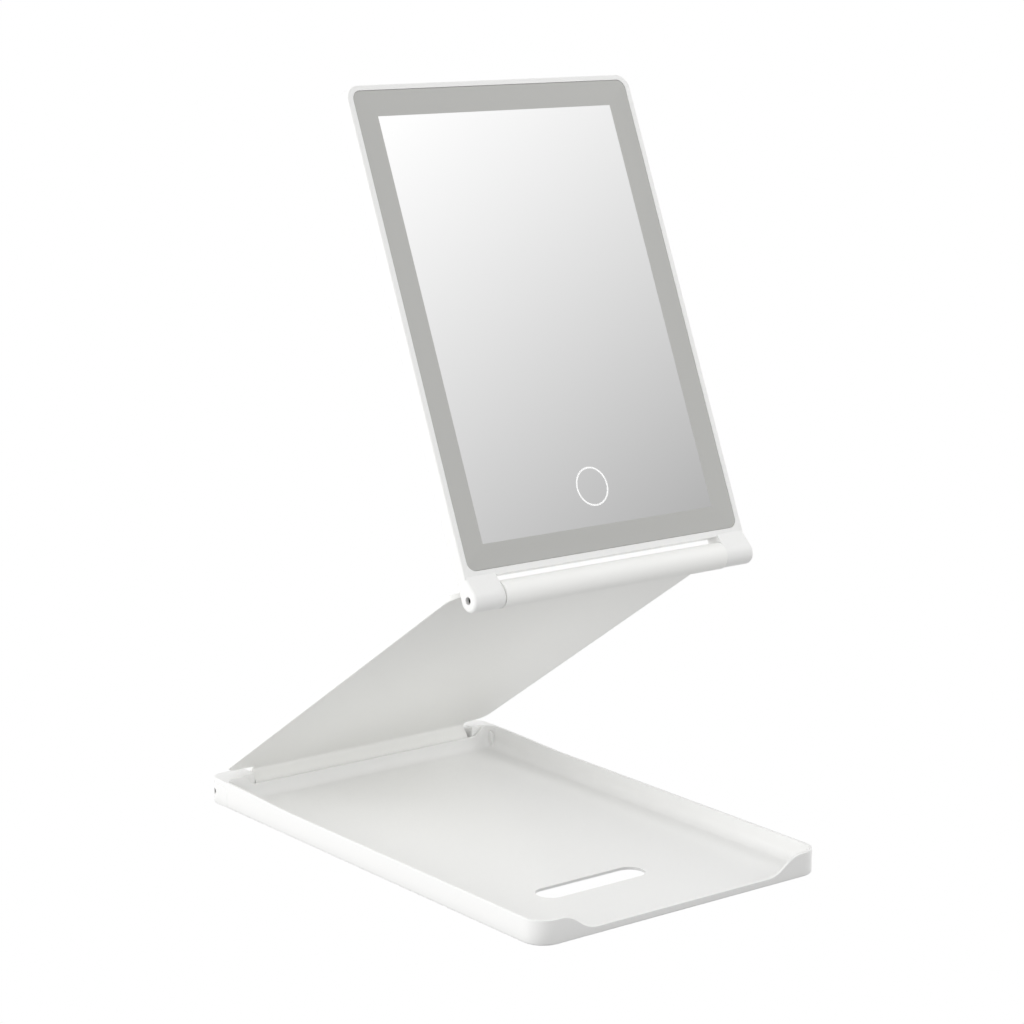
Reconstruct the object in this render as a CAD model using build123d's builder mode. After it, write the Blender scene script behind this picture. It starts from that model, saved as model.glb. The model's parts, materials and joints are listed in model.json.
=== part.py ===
from build123d import *
import os
from math import acos, atan2, cos, degrees, hypot, radians, sin, tan

# Trifold vanity mirror: a shallow tray stands on the table, an arm rises from its rear edge on the lower
# hinge, and a lit mirror panel turns on the upper hinge at the arm's other end.
# Millimetres and degrees. +X is the user's right, -Y the user's side, +Z up.
# The origin is the middle of the tray's footprint, on the table.

# ---------------------------------------------------------------- driving dimensions: base tray
base_width = 192.0  # the arm and the panel keep to this width
axis_to_front = 288.0  # lower hinge axis to the tray's front face
base_height = 13.0  # tray without its feet
tray_wall = 1.8
floor_thickness = 1.5
front_corner_radius = 12.0
cavity_rear_radius = 6.0
floor_cove = 5.0  # round between floor and walls
rim_round = 0.4
bottom_edge_round = 0.6
lip_height = 3.9  # low part of the front wall, from the tray's underside
lip_inset = 38.0  # end of the low lip, from the tray's side
lip_rise = 24.0  # length of each curve from the low lip up to the full wall
rear_wall_height = 8.9
rear_wall = 1.5
rear_rise = 1.5  # top of the rear corners above the rim
rear_climb = 66.0  # length of the side wall's climb to a rear corner
rear_fall = 9.0  # length of each curve from a rear corner down to the rear wall
rear_corner_radius = 8.0
corner_rear = 5.5  # rear corner's rear face, behind the hinge axis
slot_length = 70.0
slot_width = 16.0
slot_centre_x = -15.0
slot_from_front = 56.5
foot_stand = 0.25  # how far the feet stand out of the underside
foot_recess = 0.6
foot_diameter = 12.0
foot_inset_x = 16.0
foot_inset_y = 24.0

# ---------------------------------------------------------------- driving dimensions: hinges
arm_angle = 34.5  # arm above the horizontal
mirror_lean = 23.6  # panel behind the vertical
upper_axis_setback = 13.8  # folded shut, upper axis behind the tray's front face
lower_pin_diameter = 3.5
upper_pin_diameter = 4.0
pin_clearance = 0.03  # radial, pin in friction sleeve
sleeve_wall = 1.5
sleeve_slit = 0.8
sleeve_length = 18.0
pin_chamfer = 0.4
pin_recess = 1.6  # pin end below the outer face
bore_end_gap = 1.0  # bore past the pin's end
barrel_to_tray = 0.6  # arm barrel to the tray's rear wall
cheek_front = 13.0  # hinge block's front face, ahead of the axis
cheek_thickness = 4.0
cheek_turn_round = 3.5  # where its front face turns back to its top
block_top = 5.3  # hinge block's top above the axis
block_front_bevel = 0.3
left_block_length = 22.5
right_block_length = 14.3
left_block_gap = 1.5  # arm barrel to the left block
right_block_gap = 2.7
block_fit = 0.1  # hinge block to tray
block_lap = 1.0  # knuckle let into the cheek
tab_rear = 1.5  # floor tab under a block, behind the axis
block_screw_diameter = 2.0
block_screw_head = 4.0
block_screw_length = 6.0
block_screw_ahead = 4.2  # screw ahead of the pin axis
block_screw_pitch = 5.5

# ---------------------------------------------------------------- driving dimensions: arm
arm_inset = 3.8  # arm's side inside the tray's side
arm_offset = 6.6  # arm's underside above the plane of its two axes
arm_panel = 1.2  # inner skin
arm_core_thickness = 0.8
arm_skin = 1.0  # outer skin
arm_core_border = 3.0
arm_core_fit = 0.2
arm_corner_radius = 8.0
arm_edge_round = 0.6
lower_plate_start = 9.8  # end of the full-width plate, from the lower axis
upper_plate_start = 13.5  # the same at the upper axis
upper_barrel_radius = 7.0
upper_barrel_rise = 0.4  # barrel's middle above the upper axis, towards the outer face
lower_root = 8.3  # where the underside turns down to the lower barrel
upper_root = 14.0
lower_foot_angle = 12.0  # where that curve meets the barrel, above the plane of the axes
upper_foot_angle = -25.0
tongue_top_angle = 65.0  # where the outer face meets a barrel
tongue_lap = 2.0  # tongue let into the plate

# ---------------------------------------------------------------- driving dimensions: mirror panel
mirror_inset = 2.5  # panel's side inside the tray's side
panel_end_gap = 7.7  # folded, panel's upper edge to the lower axis
glass_thickness = 1.5
glass_corner_radius = 5.0
glass_fit = 0.15
glass_below_rim = 0.1
tape_thickness = 0.2
tape_width = 3.0
mirror_side_rim = 3.5  # frame beside the glass
mirror_top_rim = 3.0
mirror_bottom_rim = 3.5
panel_thickness = 8.0
ear_radius = 6.3
ear_end_round = 1.8
ear_length = 19.0
ear_gap = 0.5  # ear to arm barrel
ear_neck = 11.5  # where the frame's front face turns forward to an ear, from the axis
frame_bottom = 10.4  # lower edge of the frame between its ears, from the axis
frame_corner_radius = 8.0
frame_edge_round = 0.8
frame_wall = 2.0
ledge_width = 1.5  # what the glass rests on
ledge_thickness = 0.6
back_thickness = 1.4
back_fit = 0.15
back_edge = 0.3
boss_radius = 2.6
boss_corner_inset = 3.3
boss_edge_inset = 2.3
back_screw_diameter = 1.6
back_screw_head = 3.2
back_screw_length = 3.6
band_width = 13.1  # lit border of the glass

# ---------------------------------------------------------------- driving dimensions: inside the panel
guide_thickness = 1.2
guide_fit = 0.3
guide_overlap = 1.0  # light guide past the band's inner edge
reflector_thickness = 0.2
strip_thickness = 0.5
strip_height = 2.2
strip_end_gap = 12.0
led_pitch = 14.0
led_length = 3.0
led_depth = 1.2
led_height = 0.8
battery_width = 96.0
battery_length = 62.0
battery_thickness = 3.5
battery_edge_round = 0.9
battery_height = 150.0  # battery's middle, from the upper axis
battery_tape_thickness = 0.2
board_width = 46.0
board_length = 36.0
board_thickness = 0.8
board_height = 54.0
post_radius = 1.5
post_inset = 4.0
chip_size = 5.0
chip_thickness = 0.9
chip_pitch = 11.0
chip_group_inset = 15.0  # chips' middle from the board's left edge
socket_width = 8.94
socket_thickness = 3.2
socket_depth = 7.4
socket_clearance = 0.15
socket_corner = 1.2
socket_shell = 0.3
socket_wall = 1.0
socket_tongue_width = 6.7
socket_tongue_thickness = 0.7
socket_tongue_length = 5.0
socket_height = 44.0  # charging socket above the upper axis
light_pipe_diameter = 1.6
light_pipe_height = 56.0
right_strip_start = 62.0  # right light strip begins above the socket and the light pipe
sensor_radius = 10.5
sensor_thickness = 0.2
sensor_height = 46.9
sensor_tail_width = 4.0
lead_diameter = 1.0
lead_pitch = 2.5
lead_lap = 2.0  # bare end on the board
left_lead_step = 2  # light leads reach the left strip this many lamp spaces above its end

# ---------------------------------------------------------------- places that follow from them
hinge_radius = base_height / 2
base_length = axis_to_front + hinge_radius
front_y = -base_length / 2
lower_axis_y = base_length / 2 - hinge_radius
lower_axis_z = foot_stand + hinge_radius
floor_top = foot_stand + floor_thickness
lip_half_width = base_width / 2 - lip_inset
rim_top = foot_stand + base_height
corner_top = rim_top + rear_rise
tray_rear_y = lower_axis_y - hinge_radius - barrel_to_tray
cavity_rear_y = tray_rear_y - rear_wall
roof_bottom = lower_axis_z + block_top + block_fit
cheek_inner_x = base_width / 2 - cheek_thickness
left_block_inner_x = -base_width / 2 + left_block_length
right_block_inner_x = base_width / 2 - right_block_length
lower_barrel_left = left_block_inner_x + left_block_gap
lower_barrel_right = right_block_inner_x - right_block_gap
lower_sleeve_inner = lower_pin_diameter / 2 + pin_clearance
upper_sleeve_inner = upper_pin_diameter / 2 + pin_clearance
lower_sleeve_outer = lower_sleeve_inner + sleeve_wall
upper_sleeve_outer = upper_sleeve_inner + sleeve_wall

arm_width = base_width - 2 * arm_inset
arm_length = axis_to_front - upper_axis_setback
arm_cover_rear = arm_offset + arm_panel + arm_core_thickness
arm_top = arm_cover_rear + arm_skin
plate_length = arm_length - lower_plate_start - upper_plate_start
plate_centre = -(lower_plate_start + plate_length / 2)

frame_rear = -ear_radius
frame_front = frame_rear + panel_thickness
mirror_half_width = base_width / 2 - mirror_inset
ear_inner = mirror_half_width - ear_length
upper_barrel_half = ear_inner - ear_gap
frame_top = arm_length - panel_end_gap
glass_width = 2 * (mirror_half_width - mirror_side_rim)
glass_bottom = frame_bottom + mirror_bottom_rim
glass_height = frame_top - mirror_top_rim - glass_bottom
glass_front = frame_front - glass_below_rim
glass_rear = glass_front - glass_thickness
ledge_front = glass_rear - tape_thickness
ledge_rear = ledge_front - ledge_thickness
back_front = frame_rear + back_thickness
cavity_half_width = mirror_half_width - frame_wall
cavity_bottom = frame_bottom + frame_wall
cavity_top = frame_top - frame_wall
cavity_radius = frame_corner_radius - frame_wall
guide_rear = ledge_front - guide_thickness
reflector_rear = guide_rear - reflector_thickness
socket_level = (reflector_rear + back_front) / 2  # middle of the space behind the reflector
board_front = socket_level + board_thickness / 2
board_rear = board_front - board_thickness
board_right = mirror_half_width - socket_depth
board_left = board_right - board_width
board_top = board_height + board_length / 2
lead_level = board_front + lead_diameter / 2
strip_face = cavity_half_width - strip_thickness
left_strip_start = cavity_bottom + strip_end_gap
strip_end = cavity_top - strip_end_gap

# The arm's frame: origin on the lower axis, -Y along the arm to the upper axis, +Z out of its outer face.
arm = Plane(
    origin=(0, lower_axis_y, lower_axis_z),
    x_dir=(1, 0, 0),
    z_dir=(0, sin(radians(arm_angle)), cos(radians(arm_angle))),
)
# The panel's frame: origin on the upper axis, +Y up the mirror, +Z out of the glass.
panel = Plane(
    origin=arm.from_local_coords((0, -arm_length, 0)),
    x_dir=(1, 0, 0),
    z_dir=(0, -cos(radians(mirror_lean)), sin(radians(mirror_lean))),
)
arm_tip = Plane(origin=panel.origin, x_dir=arm.x_dir, z_dir=arm.z_dir)
base_end = Plane(origin=arm.origin)
outward = Axis(arm.origin, arm.z_dir)
forward = Axis(panel.origin, panel.z_dir)
upward = Axis(panel.origin, panel.y_dir)

os.makedirs("parts", exist_ok=True)


def across(frame, x):
    """Plane across the hinge axes at x: its X is the frame's Y, its Y the frame's Z, its normal +X."""
    return Plane(origin=frame.from_local_coords((x, 0, 0)), x_dir=frame.y_dir, z_dir=frame.x_dir)


def on_circle(radius, angle, side=1, rise=0):
    """Point at an angle in degrees on a circle, mirrored where side is -1, its middle raised by rise."""
    return (side * radius * cos(radians(angle)), rise + radius * sin(radians(angle)))


# ================================================================ base tray
def cheek_profile(grow):
    """Side view of a hinge block's cheek about the pin axis, made larger ahead by grow."""
    with BuildSketch(mode=Mode.PRIVATE) as profile:
        with BuildLine():
            Polyline(
                (corner_rear, -hinge_radius - grow),
                (-cheek_front - grow, -hinge_radius - grow),
                (-cheek_front - grow, block_top + grow),
                (corner_rear, block_top + grow),
                close=True,
            )
        make_face()
        turn = profile.vertices().sort_by_distance((-cheek_front - grow, block_top + grow))[0]
        fillet(turn, radius=cheek_turn_round)
    return profile.sketch


block_screw_y = lower_axis_y - block_screw_ahead
block_screw_x = [
    side * (cheek_inner_x - 2 * block_fit - block_screw_head / 2 - step * block_screw_pitch)
    for side in (-1, 1)
    for step in (0, 1)
]
block_sides = ((-1, left_block_inner_x), (1, right_block_inner_x))
foot_x = base_width / 2 - foot_inset_x
foot_places = [
    (x, y) for x in (-foot_x, foot_x) for y in (front_y + foot_inset_y, lower_axis_y - foot_inset_y)
]

with BuildPart() as base_tray:
    with BuildSketch(Plane.XY.offset(foot_stand)) as tray_outline:
        with Locations((0, (front_y + tray_rear_y) / 2)):
            Rectangle(base_width, tray_rear_y - front_y)
        fillet(tray_outline.vertices().group_by(Axis.Y)[0], radius=front_corner_radius)
    extrude(amount=corner_top - foot_stand)
    outer_bottom = base_tray.faces().sort_by(Axis.Z)[0].edges().sort_by(Axis.Y)[:-1]
    fillet(outer_bottom, radius=bottom_edge_round)

    with BuildSketch(Plane.XY.offset(floor_top)) as cavity_outline:
        with Locations((0, (front_y + tray_wall + cavity_rear_y) / 2)):
            Rectangle(base_width - 2 * tray_wall, cavity_rear_y - front_y - tray_wall)
        fillet(cavity_outline.vertices().group_by(Axis.Y)[0], radius=front_corner_radius - tray_wall)
        fillet(cavity_outline.vertices().group_by(Axis.Y)[-1], radius=cavity_rear_radius)
    extrude(amount=corner_top, mode=Mode.SUBTRACT)
    cavity_floor_edges = base_tray.edges().filter_by_position(Axis.Z, floor_top - 0.01, floor_top + 0.01)
    fillet(cavity_floor_edges, radius=floor_cove)

    # The rim climbs towards the rear corners.
    climb_end = cavity_rear_y - lower_axis_y
    climb_start = climb_end - rear_climb
    with BuildSketch(across(base_end, 0)):
        with BuildLine():
            climb = Bezier(
                (climb_start, hinge_radius),
                (climb_start + rear_climb / 4, hinge_radius),
                (climb_end - rear_climb / 2, hinge_radius + rear_rise),
                (climb_end, hinge_radius + rear_rise),
            )
            Polyline(
                climb @ 1,
                (climb_end, 2 * hinge_radius),
                (-axis_to_front, 2 * hinge_radius),
                (-axis_to_front, hinge_radius),
                climb @ 0,
            )
        make_face()
    extrude(amount=base_width, both=True, mode=Mode.SUBTRACT)

    # The front wall drops to a low lip between two S-curves.
    lip_z = foot_stand + lip_height
    lip_end_x = lip_half_width + lip_rise
    with BuildSketch(Plane.XZ.offset(tray_wall - front_y)):
        with BuildLine():
            fall = Spline((-lip_end_x, rim_top), (-lip_half_width, lip_z), tangents=((1, 0), (1, 0)))
            Line(fall @ 1, (lip_half_width, lip_z))
            rise = Spline((lip_half_width, lip_z), (lip_end_x, rim_top), tangents=((1, 0), (1, 0)))
            Polyline(rise @ 1, (lip_end_x, rim_top + 1), (-lip_end_x, rim_top + 1), fall @ 0)
        make_face()
    extrude(amount=-(2 * tray_wall + floor_cove), mode=Mode.SUBTRACT)

    # Rounded slot through the floor.
    with BuildSketch(Plane.XY):
        with Locations((slot_centre_x, front_y + slot_from_front)):
            SlotOverall(slot_length, slot_width)
    extrude(amount=rim_top, mode=Mode.SUBTRACT)

    # The rear wall curves down from both corners to less than the rim's height.
    wall_z = foot_stand + rear_wall_height
    low_left, low_right = left_block_inner_x, right_block_inner_x
    high_left, high_right = low_left - rear_fall, low_right + rear_fall
    with BuildSketch(Plane.XZ.offset(-tray_rear_y)):
        with BuildLine():
            drop = Spline((high_left, corner_top), (low_left, wall_z), tangents=((1, 0), (1, 0)))
            Line(drop @ 1, (low_right, wall_z))
            lift = Spline((low_right, wall_z), (high_right, corner_top), tangents=((1, 0), (1, 0)))
            Polyline(lift @ 1, (high_right, corner_top + 1), (high_left, corner_top + 1), drop @ 0)
        make_face()
    extrude(amount=2 * rear_wall, mode=Mode.SUBTRACT)

    # Roofs over the hinge blocks close the rear corners.
    roof_rear_y = lower_axis_y + corner_rear
    for side, inner_x in block_sides:
        outer_x = side * base_width / 2
        with BuildSketch(Plane.XY.offset(roof_bottom)) as roof_outline:
            with Locations(((outer_x + inner_x) / 2, (tray_rear_y + roof_rear_y) / 2)):
                Rectangle(abs(outer_x - inner_x), roof_rear_y - tray_rear_y)
            outer_corner = roof_outline.vertices().sort_by_distance((outer_x, roof_rear_y))[0]
            fillet(outer_corner, radius=rear_corner_radius)
        extrude(amount=corner_top - roof_bottom)

    # The side walls stop at the hinge blocks.
    for side in (-1, 1):
        with BuildSketch(across(base_end, side * (cheek_inner_x - block_fit))):
            add(cheek_profile(block_fit))
        extrude(amount=side * base_width, mode=Mode.SUBTRACT)

    # Rounded rim and lip, ahead of the rear corners.
    wall_tops = [
        face
        for face in base_tray.faces()
        if face.normal_at().Z > 0.5
        and face.center().Z > lip_z - 0.01
        and face.center().Y < cavity_rear_y
    ]
    wall_edges = [
        edge
        for face in wall_tops
        for edge in face.edges()
        if edge.length > 2 * tray_wall and edge.center().Y < cavity_rear_y - 2 * cavity_rear_radius
    ]
    fillet(wall_edges, radius=rim_round)

    # Floor tabs carry the hinge blocks.
    tab_front_y = tray_rear_y - rear_wall
    tab_rear_y = lower_axis_y + tab_rear
    tab_outer_x = cheek_inner_x - block_fit
    with BuildSketch(Plane.XY.offset(foot_stand)):
        for side, inner_x in block_sides:
            with Locations(((inner_x + side * tab_outer_x) / 2, (tab_front_y + tab_rear_y) / 2)):
                Rectangle(abs(side * tab_outer_x - inner_x), tab_rear_y - tab_front_y)
    extrude(amount=floor_thickness)
    with Locations(*[Location((x, block_screw_y, foot_stand), (180, 0, 0)) for x in block_screw_x]):
        CounterSinkHole(
            radius=block_screw_diameter / 2 + block_fit,
            counter_sink_radius=block_screw_head / 2 + block_fit,
            depth=floor_thickness,
            counter_sink_angle=90,
        )

    # Recesses for the feet.
    with BuildSketch(Plane.XY.offset(foot_stand)):
        with Locations(*foot_places):
            Circle(foot_diameter / 2)
    extrude(amount=foot_recess, mode=Mode.SUBTRACT)
base_tray.part.label = "base_tray"
export_step(base_tray.part, "parts/base_tray.step")

with BuildPart() as base_feet:
    with BuildSketch(Plane.XY):
        with Locations(*foot_places):
            Circle(foot_diameter / 2)
    extrude(amount=foot_stand + foot_recess)
    chamfer(base_feet.edges().group_by(Axis.Z)[0], length=foot_stand / 2)
base_feet.part.label = "base_feet"
export_step(base_feet.part, "parts/base_feet.step")

# ================================================================ lower hinge
for side, block_length, block_label in (
    (-1, left_block_length, "hinge_block_left"),
    (1, right_block_length, "hinge_block_right"),
):
    outer_x = side * base_width / 2
    with BuildPart() as hinge_block:
        # Cheek in line with the tray's side wall, round at the rear as the roof over it.
        with BuildSketch(across(base_end, outer_x)):
            add(cheek_profile(0))
        extrude(amount=-side * cheek_thickness)
        # Knuckle about the pin, standing on the tray's floor tab.
        knuckle_front = hinge_radius + barrel_to_tray - block_fit
        knuckle_bottom = floor_thickness - hinge_radius
        with BuildSketch(across(base_end, outer_x - side * (cheek_thickness - block_lap))):
            with Locations(((corner_rear - knuckle_front) / 2, (block_top + knuckle_bottom) / 2)):
                Rectangle(corner_rear + knuckle_front, block_top - knuckle_bottom)
        extrude(amount=-side * (block_length - cheek_thickness + block_lap))
        outermost = -1 if side > 0 else 0
        rear_edge = hinge_block.edges().filter_by(Axis.Z).group_by(Axis.Y)[-1].sort_by(Axis.X)[outermost]
        fillet(rear_edge, radius=rear_corner_radius)
        outer_face = hinge_block.faces().filter_by(Axis.X).sort_by(Axis.X)[outermost]
        front_edge = outer_face.edges().sort_by(Axis.Y)[0]
        chamfer(front_edge, length=block_front_bevel)
        # Pin bore and screw holes.
        with BuildSketch(across(base_end, outer_x)):
            Circle(lower_pin_diameter / 2)
        extrude(amount=-side * block_length, mode=Mode.SUBTRACT)
        with BuildSketch(Plane.XY.offset(floor_top)):
            with Locations(*[(x, block_screw_y) for x in block_screw_x if x * side > 0]):
                Circle(block_screw_diameter / 2)
        extrude(amount=block_screw_length - floor_thickness + block_fit, mode=Mode.SUBTRACT)
    hinge_block.part.label = block_label
    export_step(hinge_block.part, f"parts/{block_label}.step")

with BuildPart() as hinge_block_screws:
    with BuildSketch(Plane.XY.offset(foot_stand)):
        with Locations(*[(x, block_screw_y) for x in block_screw_x]):
            Circle(block_screw_diameter / 2)
    extrude(amount=block_screw_length)
    block_head_depth = (block_screw_head - block_screw_diameter) / 2
    with Locations(*[(x, block_screw_y, foot_stand + block_head_depth / 2) for x in block_screw_x]):
        Cone(block_screw_head / 2, block_screw_diameter / 2, block_head_depth)
hinge_block_screws.part.label = "hinge_block_screws"
export_step(hinge_block_screws.part, "parts/hinge_block_screws.step")

# Steel pins, each from a recess in the outer face into a barrel's friction sleeve.
lower_pin_start = base_width / 2 - pin_recess
upper_pin_start = mirror_half_width - pin_recess
for pin_frame, pin_diameter, start_x, end_x, pin_label in (
    (base_end, lower_pin_diameter, -lower_pin_start, lower_barrel_left + sleeve_length, "lower_pin_left"),
    (base_end, lower_pin_diameter, lower_pin_start, lower_barrel_right - sleeve_length, "lower_pin_right"),
    (panel, upper_pin_diameter, -upper_pin_start, -upper_barrel_half + sleeve_length, "upper_pin_left"),
    (panel, upper_pin_diameter, upper_pin_start, upper_barrel_half - sleeve_length, "upper_pin_right"),
):
    with BuildPart() as hinge_pin:
        with BuildSketch(across(pin_frame, start_x)):
            Circle(pin_diameter / 2)
        extrude(amount=end_x - start_x)
        chamfer(hinge_pin.edges().filter_by(GeomType.CIRCLE), length=pin_chamfer)
    hinge_pin.part.label = pin_label
    export_step(hinge_pin.part, f"parts/{pin_label}.step")

# Slit spring sleeves pressed into the barrels grip the pins.
lower_sleeve_right_x = lower_barrel_right - sleeve_length
upper_sleeve_right_x = upper_barrel_half - sleeve_length
for sleeve_frame, sleeve_inner, sleeve_outer, start_x, sleeve_label in (
    (arm, lower_sleeve_inner, lower_sleeve_outer, lower_barrel_left, "lower_sleeve_left"),
    (arm, lower_sleeve_inner, lower_sleeve_outer, lower_sleeve_right_x, "lower_sleeve_right"),
    (arm_tip, upper_sleeve_inner, upper_sleeve_outer, -upper_barrel_half, "upper_sleeve_left"),
    (arm_tip, upper_sleeve_inner, upper_sleeve_outer, upper_sleeve_right_x, "upper_sleeve_right"),
):
    with BuildPart() as friction_sleeve:
        with BuildSketch(across(sleeve_frame, start_x)):
            Circle(sleeve_outer)
            Circle(sleeve_inner, mode=Mode.SUBTRACT)
            with Locations((0, -sleeve_outer)):
                Rectangle(sleeve_slit, 2 * sleeve_outer, mode=Mode.SUBTRACT)
        extrude(amount=sleeve_length)
    friction_sleeve.part.label = sleeve_label
    export_step(friction_sleeve.part, f"parts/{sleeve_label}.step")


# ================================================================ arm
def plate_outline(inset):
    """The arm's full-width plate with its rounded corners, set in by inset."""
    with BuildSketch(mode=Mode.PRIVATE) as outline:
        with Locations((0, plate_centre)):
            RectangleRounded(arm_width - 2 * inset, plate_length - 2 * inset, arm_corner_radius - inset)
    return outline.sketch


def barrel_section(side, radius, rise, plate_start, root, foot_angle):
    """Barrel with the tongue that joins it to the plate, which lies on the given side of the axis."""
    foot = on_circle(radius, foot_angle, side, rise)
    crown = on_circle(radius, tongue_top_angle, side, rise)
    # The underside leaves the plate level and meets the barrel along its tangent.
    bend_reach = side * (abs(foot[0]) - (arm_offset - foot[1]) * tan(radians(foot_angle)))
    with BuildSketch(mode=Mode.PRIVATE) as section:
        with Locations((0, rise)):
            Circle(radius)
        with BuildLine():
            Polyline(foot, (0, rise), crown)
            Bezier(crown, (side * radius, radius + rise), (side * plate_start, arm_top))
            Polyline(
                (side * plate_start, arm_top),
                (side * plate_start, arm_cover_rear),
                (side * (plate_start + tongue_lap), arm_cover_rear),
                (side * (plate_start + tongue_lap), arm_offset),
                (side * root, arm_offset),
            )
            Bezier((side * root, arm_offset), (bend_reach, arm_offset), foot)
        make_face()
    return section.sketch


with BuildPart() as arm_frame:
    # Inner skin with a border round the core.
    with BuildSketch(arm.offset(arm_offset)):
        add(plate_outline(0))
    extrude(amount=arm_cover_rear - arm_offset)
    underside = arm_frame.faces().sort_by(outward)[0]
    fillet(underside.outer_wire().edges(), radius=arm_edge_round)
    with BuildSketch(arm.offset(arm_offset + arm_panel)):
        add(plate_outline(arm_core_border))
    extrude(amount=arm_core_thickness, mode=Mode.SUBTRACT)
    # Barrels on their tongues.
    with BuildSketch(across(arm, lower_barrel_left)):
        add(barrel_section(-1, hinge_radius, 0, lower_plate_start, lower_root, lower_foot_angle))
    extrude(amount=lower_barrel_right - lower_barrel_left)
    with BuildSketch(across(arm_tip, -upper_barrel_half)):
        add(
            barrel_section(
                1, upper_barrel_radius, upper_barrel_rise, upper_plate_start, upper_root, upper_foot_angle
            )
        )
    extrude(amount=2 * upper_barrel_half)
    # Bores for the friction sleeves.
    for bore_frame, bore_radius, left_x, right_x in (
        (arm, lower_sleeve_outer, lower_barrel_left, lower_barrel_right),
        (arm_tip, upper_sleeve_outer, -upper_barrel_half, upper_barrel_half),
    ):
        for start_x, into in ((left_x, 1), (right_x, -1)):
            with BuildSketch(across(bore_frame, start_x)):
                Circle(bore_radius)
            extrude(amount=into * (sleeve_length + bore_end_gap), mode=Mode.SUBTRACT)
arm_frame.part.label = "arm_frame"
export_step(arm_frame.part, "parts/arm_frame.step")

with BuildPart() as arm_core:
    with BuildSketch(arm.offset(arm_offset + arm_panel)):
        add(plate_outline(arm_core_border + arm_core_fit))
    extrude(amount=arm_core_thickness)
arm_core.part.label = "arm_core"
export_step(arm_core.part, "parts/arm_core.step")

with BuildPart() as arm_cover:
    with BuildSketch(arm.offset(arm_cover_rear)):
        add(plate_outline(0))
    extrude(amount=arm_skin)
    outer_face = arm_cover.faces().sort_by(outward)[-1]
    fillet(outer_face.edges(), radius=arm_edge_round)
arm_cover.part.label = "arm_cover"
export_step(arm_cover.part, "parts/arm_cover.step")


# ================================================================ mirror panel
def upright(half_width, bottom, top, radius):
    """Rounded rectangle in the panel's plane between two heights."""
    with BuildSketch(mode=Mode.PRIVATE) as outline:
        with Locations((0, (bottom + top) / 2)):
            RectangleRounded(2 * half_width, top - bottom, radius)
    return outline.sketch


def behind_glass(inset, radius):
    """Rounded rectangle set in from the glass's edge."""
    return upright(
        glass_width / 2 - inset, glass_bottom + inset, glass_bottom + glass_height - inset, radius
    )


def mirror_ear(side):
    """Ear about the upper axis, with a neck up to the frame's front face."""
    neck_angle = degrees(atan2(frame_front, ear_neck) + acos(ear_radius / hypot(ear_neck, frame_front)))
    with BuildPart(mode=Mode.PRIVATE) as ear:
        with BuildSketch(across(panel, side * mirror_half_width)):
            Circle(ear_radius)
            with BuildLine():
                Polyline(
                    (0, -ear_radius),
                    (ear_neck, -ear_radius),
                    (ear_neck, frame_front),
                    on_circle(ear_radius, neck_angle),
                    (0, 0),
                    close=True,
                )
            make_face()
        extrude(amount=-side * (mirror_half_width - ear_inner))
        ear_end = ear.faces().sort_by(Axis.X)[-1 if side > 0 else 0]
        fillet(ear_end.outer_wire().edges().sort_by(upward)[:-1], radius=ear_end_round)
    return ear.part


mirror_ears = [mirror_ear(-1), mirror_ear(1)]
back_screw_x = cavity_half_width - boss_corner_inset
back_screw_places = [
    (x, y)
    for x, inset in (
        (-back_screw_x, boss_corner_inset),
        (0, boss_edge_inset),
        (back_screw_x, boss_corner_inset),
    )
    for y in (cavity_bottom + inset, cavity_top - inset)
]

with BuildPart() as mirror_frame:
    with BuildSketch(panel.offset(frame_rear)) as frame_outline:
        with Locations((0, (frame_bottom + frame_top) / 2)):
            Rectangle(2 * mirror_half_width, frame_top - frame_bottom)
        fillet(frame_outline.vertices().group_by(Axis.Y)[-1], radius=frame_corner_radius)
    extrude(amount=panel_thickness)
    panel_faces = mirror_frame.faces().sort_by(forward)
    rim_edges = panel_faces[0].edges().sort_by(upward)[1:] + panel_faces[-1].edges().sort_by(upward)[1:]
    fillet(rim_edges, radius=frame_edge_round)
    add(mirror_ears)

    # Glass recess in front, cavity behind and the ledge between them.
    with BuildSketch(panel.offset(ledge_front)):
        add(behind_glass(-glass_fit, glass_corner_radius + glass_fit))
    extrude(amount=panel_thickness, mode=Mode.SUBTRACT)
    with BuildSketch(panel.offset(frame_rear)):
        add(behind_glass(ledge_width, glass_corner_radius - ledge_width))
    extrude(amount=panel_thickness, mode=Mode.SUBTRACT)
    with BuildSketch(panel.offset(frame_rear)):
        add(upright(cavity_half_width, cavity_bottom, cavity_top, cavity_radius))
    extrude(amount=ledge_rear - frame_rear, mode=Mode.SUBTRACT)

    # Bosses for the rear cover's screws, clear of the light guide.
    with BuildSketch(panel.offset(back_front)):
        with Locations(*back_screw_places):
            Circle(boss_radius)
            Circle(back_screw_diameter / 2, mode=Mode.SUBTRACT)
    extrude(amount=reflector_rear - guide_fit - back_front)

    # Pin bores, charging socket and light pipe.
    with BuildSketch(across(panel, -mirror_half_width)):
        Circle(upper_pin_diameter / 2)
    extrude(amount=2 * mirror_half_width, mode=Mode.SUBTRACT)
    with BuildSketch(across(panel, cavity_half_width - frame_wall)):
        with Locations((socket_height, socket_level)):
            RectangleRounded(
                socket_width + 2 * socket_clearance,
                socket_thickness + 2 * socket_clearance,
                socket_corner + socket_clearance,
            )
        with Locations((light_pipe_height, socket_level)):
            Circle(light_pipe_diameter / 2)
    extrude(amount=3 * frame_wall, mode=Mode.SUBTRACT)
mirror_frame.part.label = "mirror_frame"
export_step(mirror_frame.part, "parts/mirror_frame.step")

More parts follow.
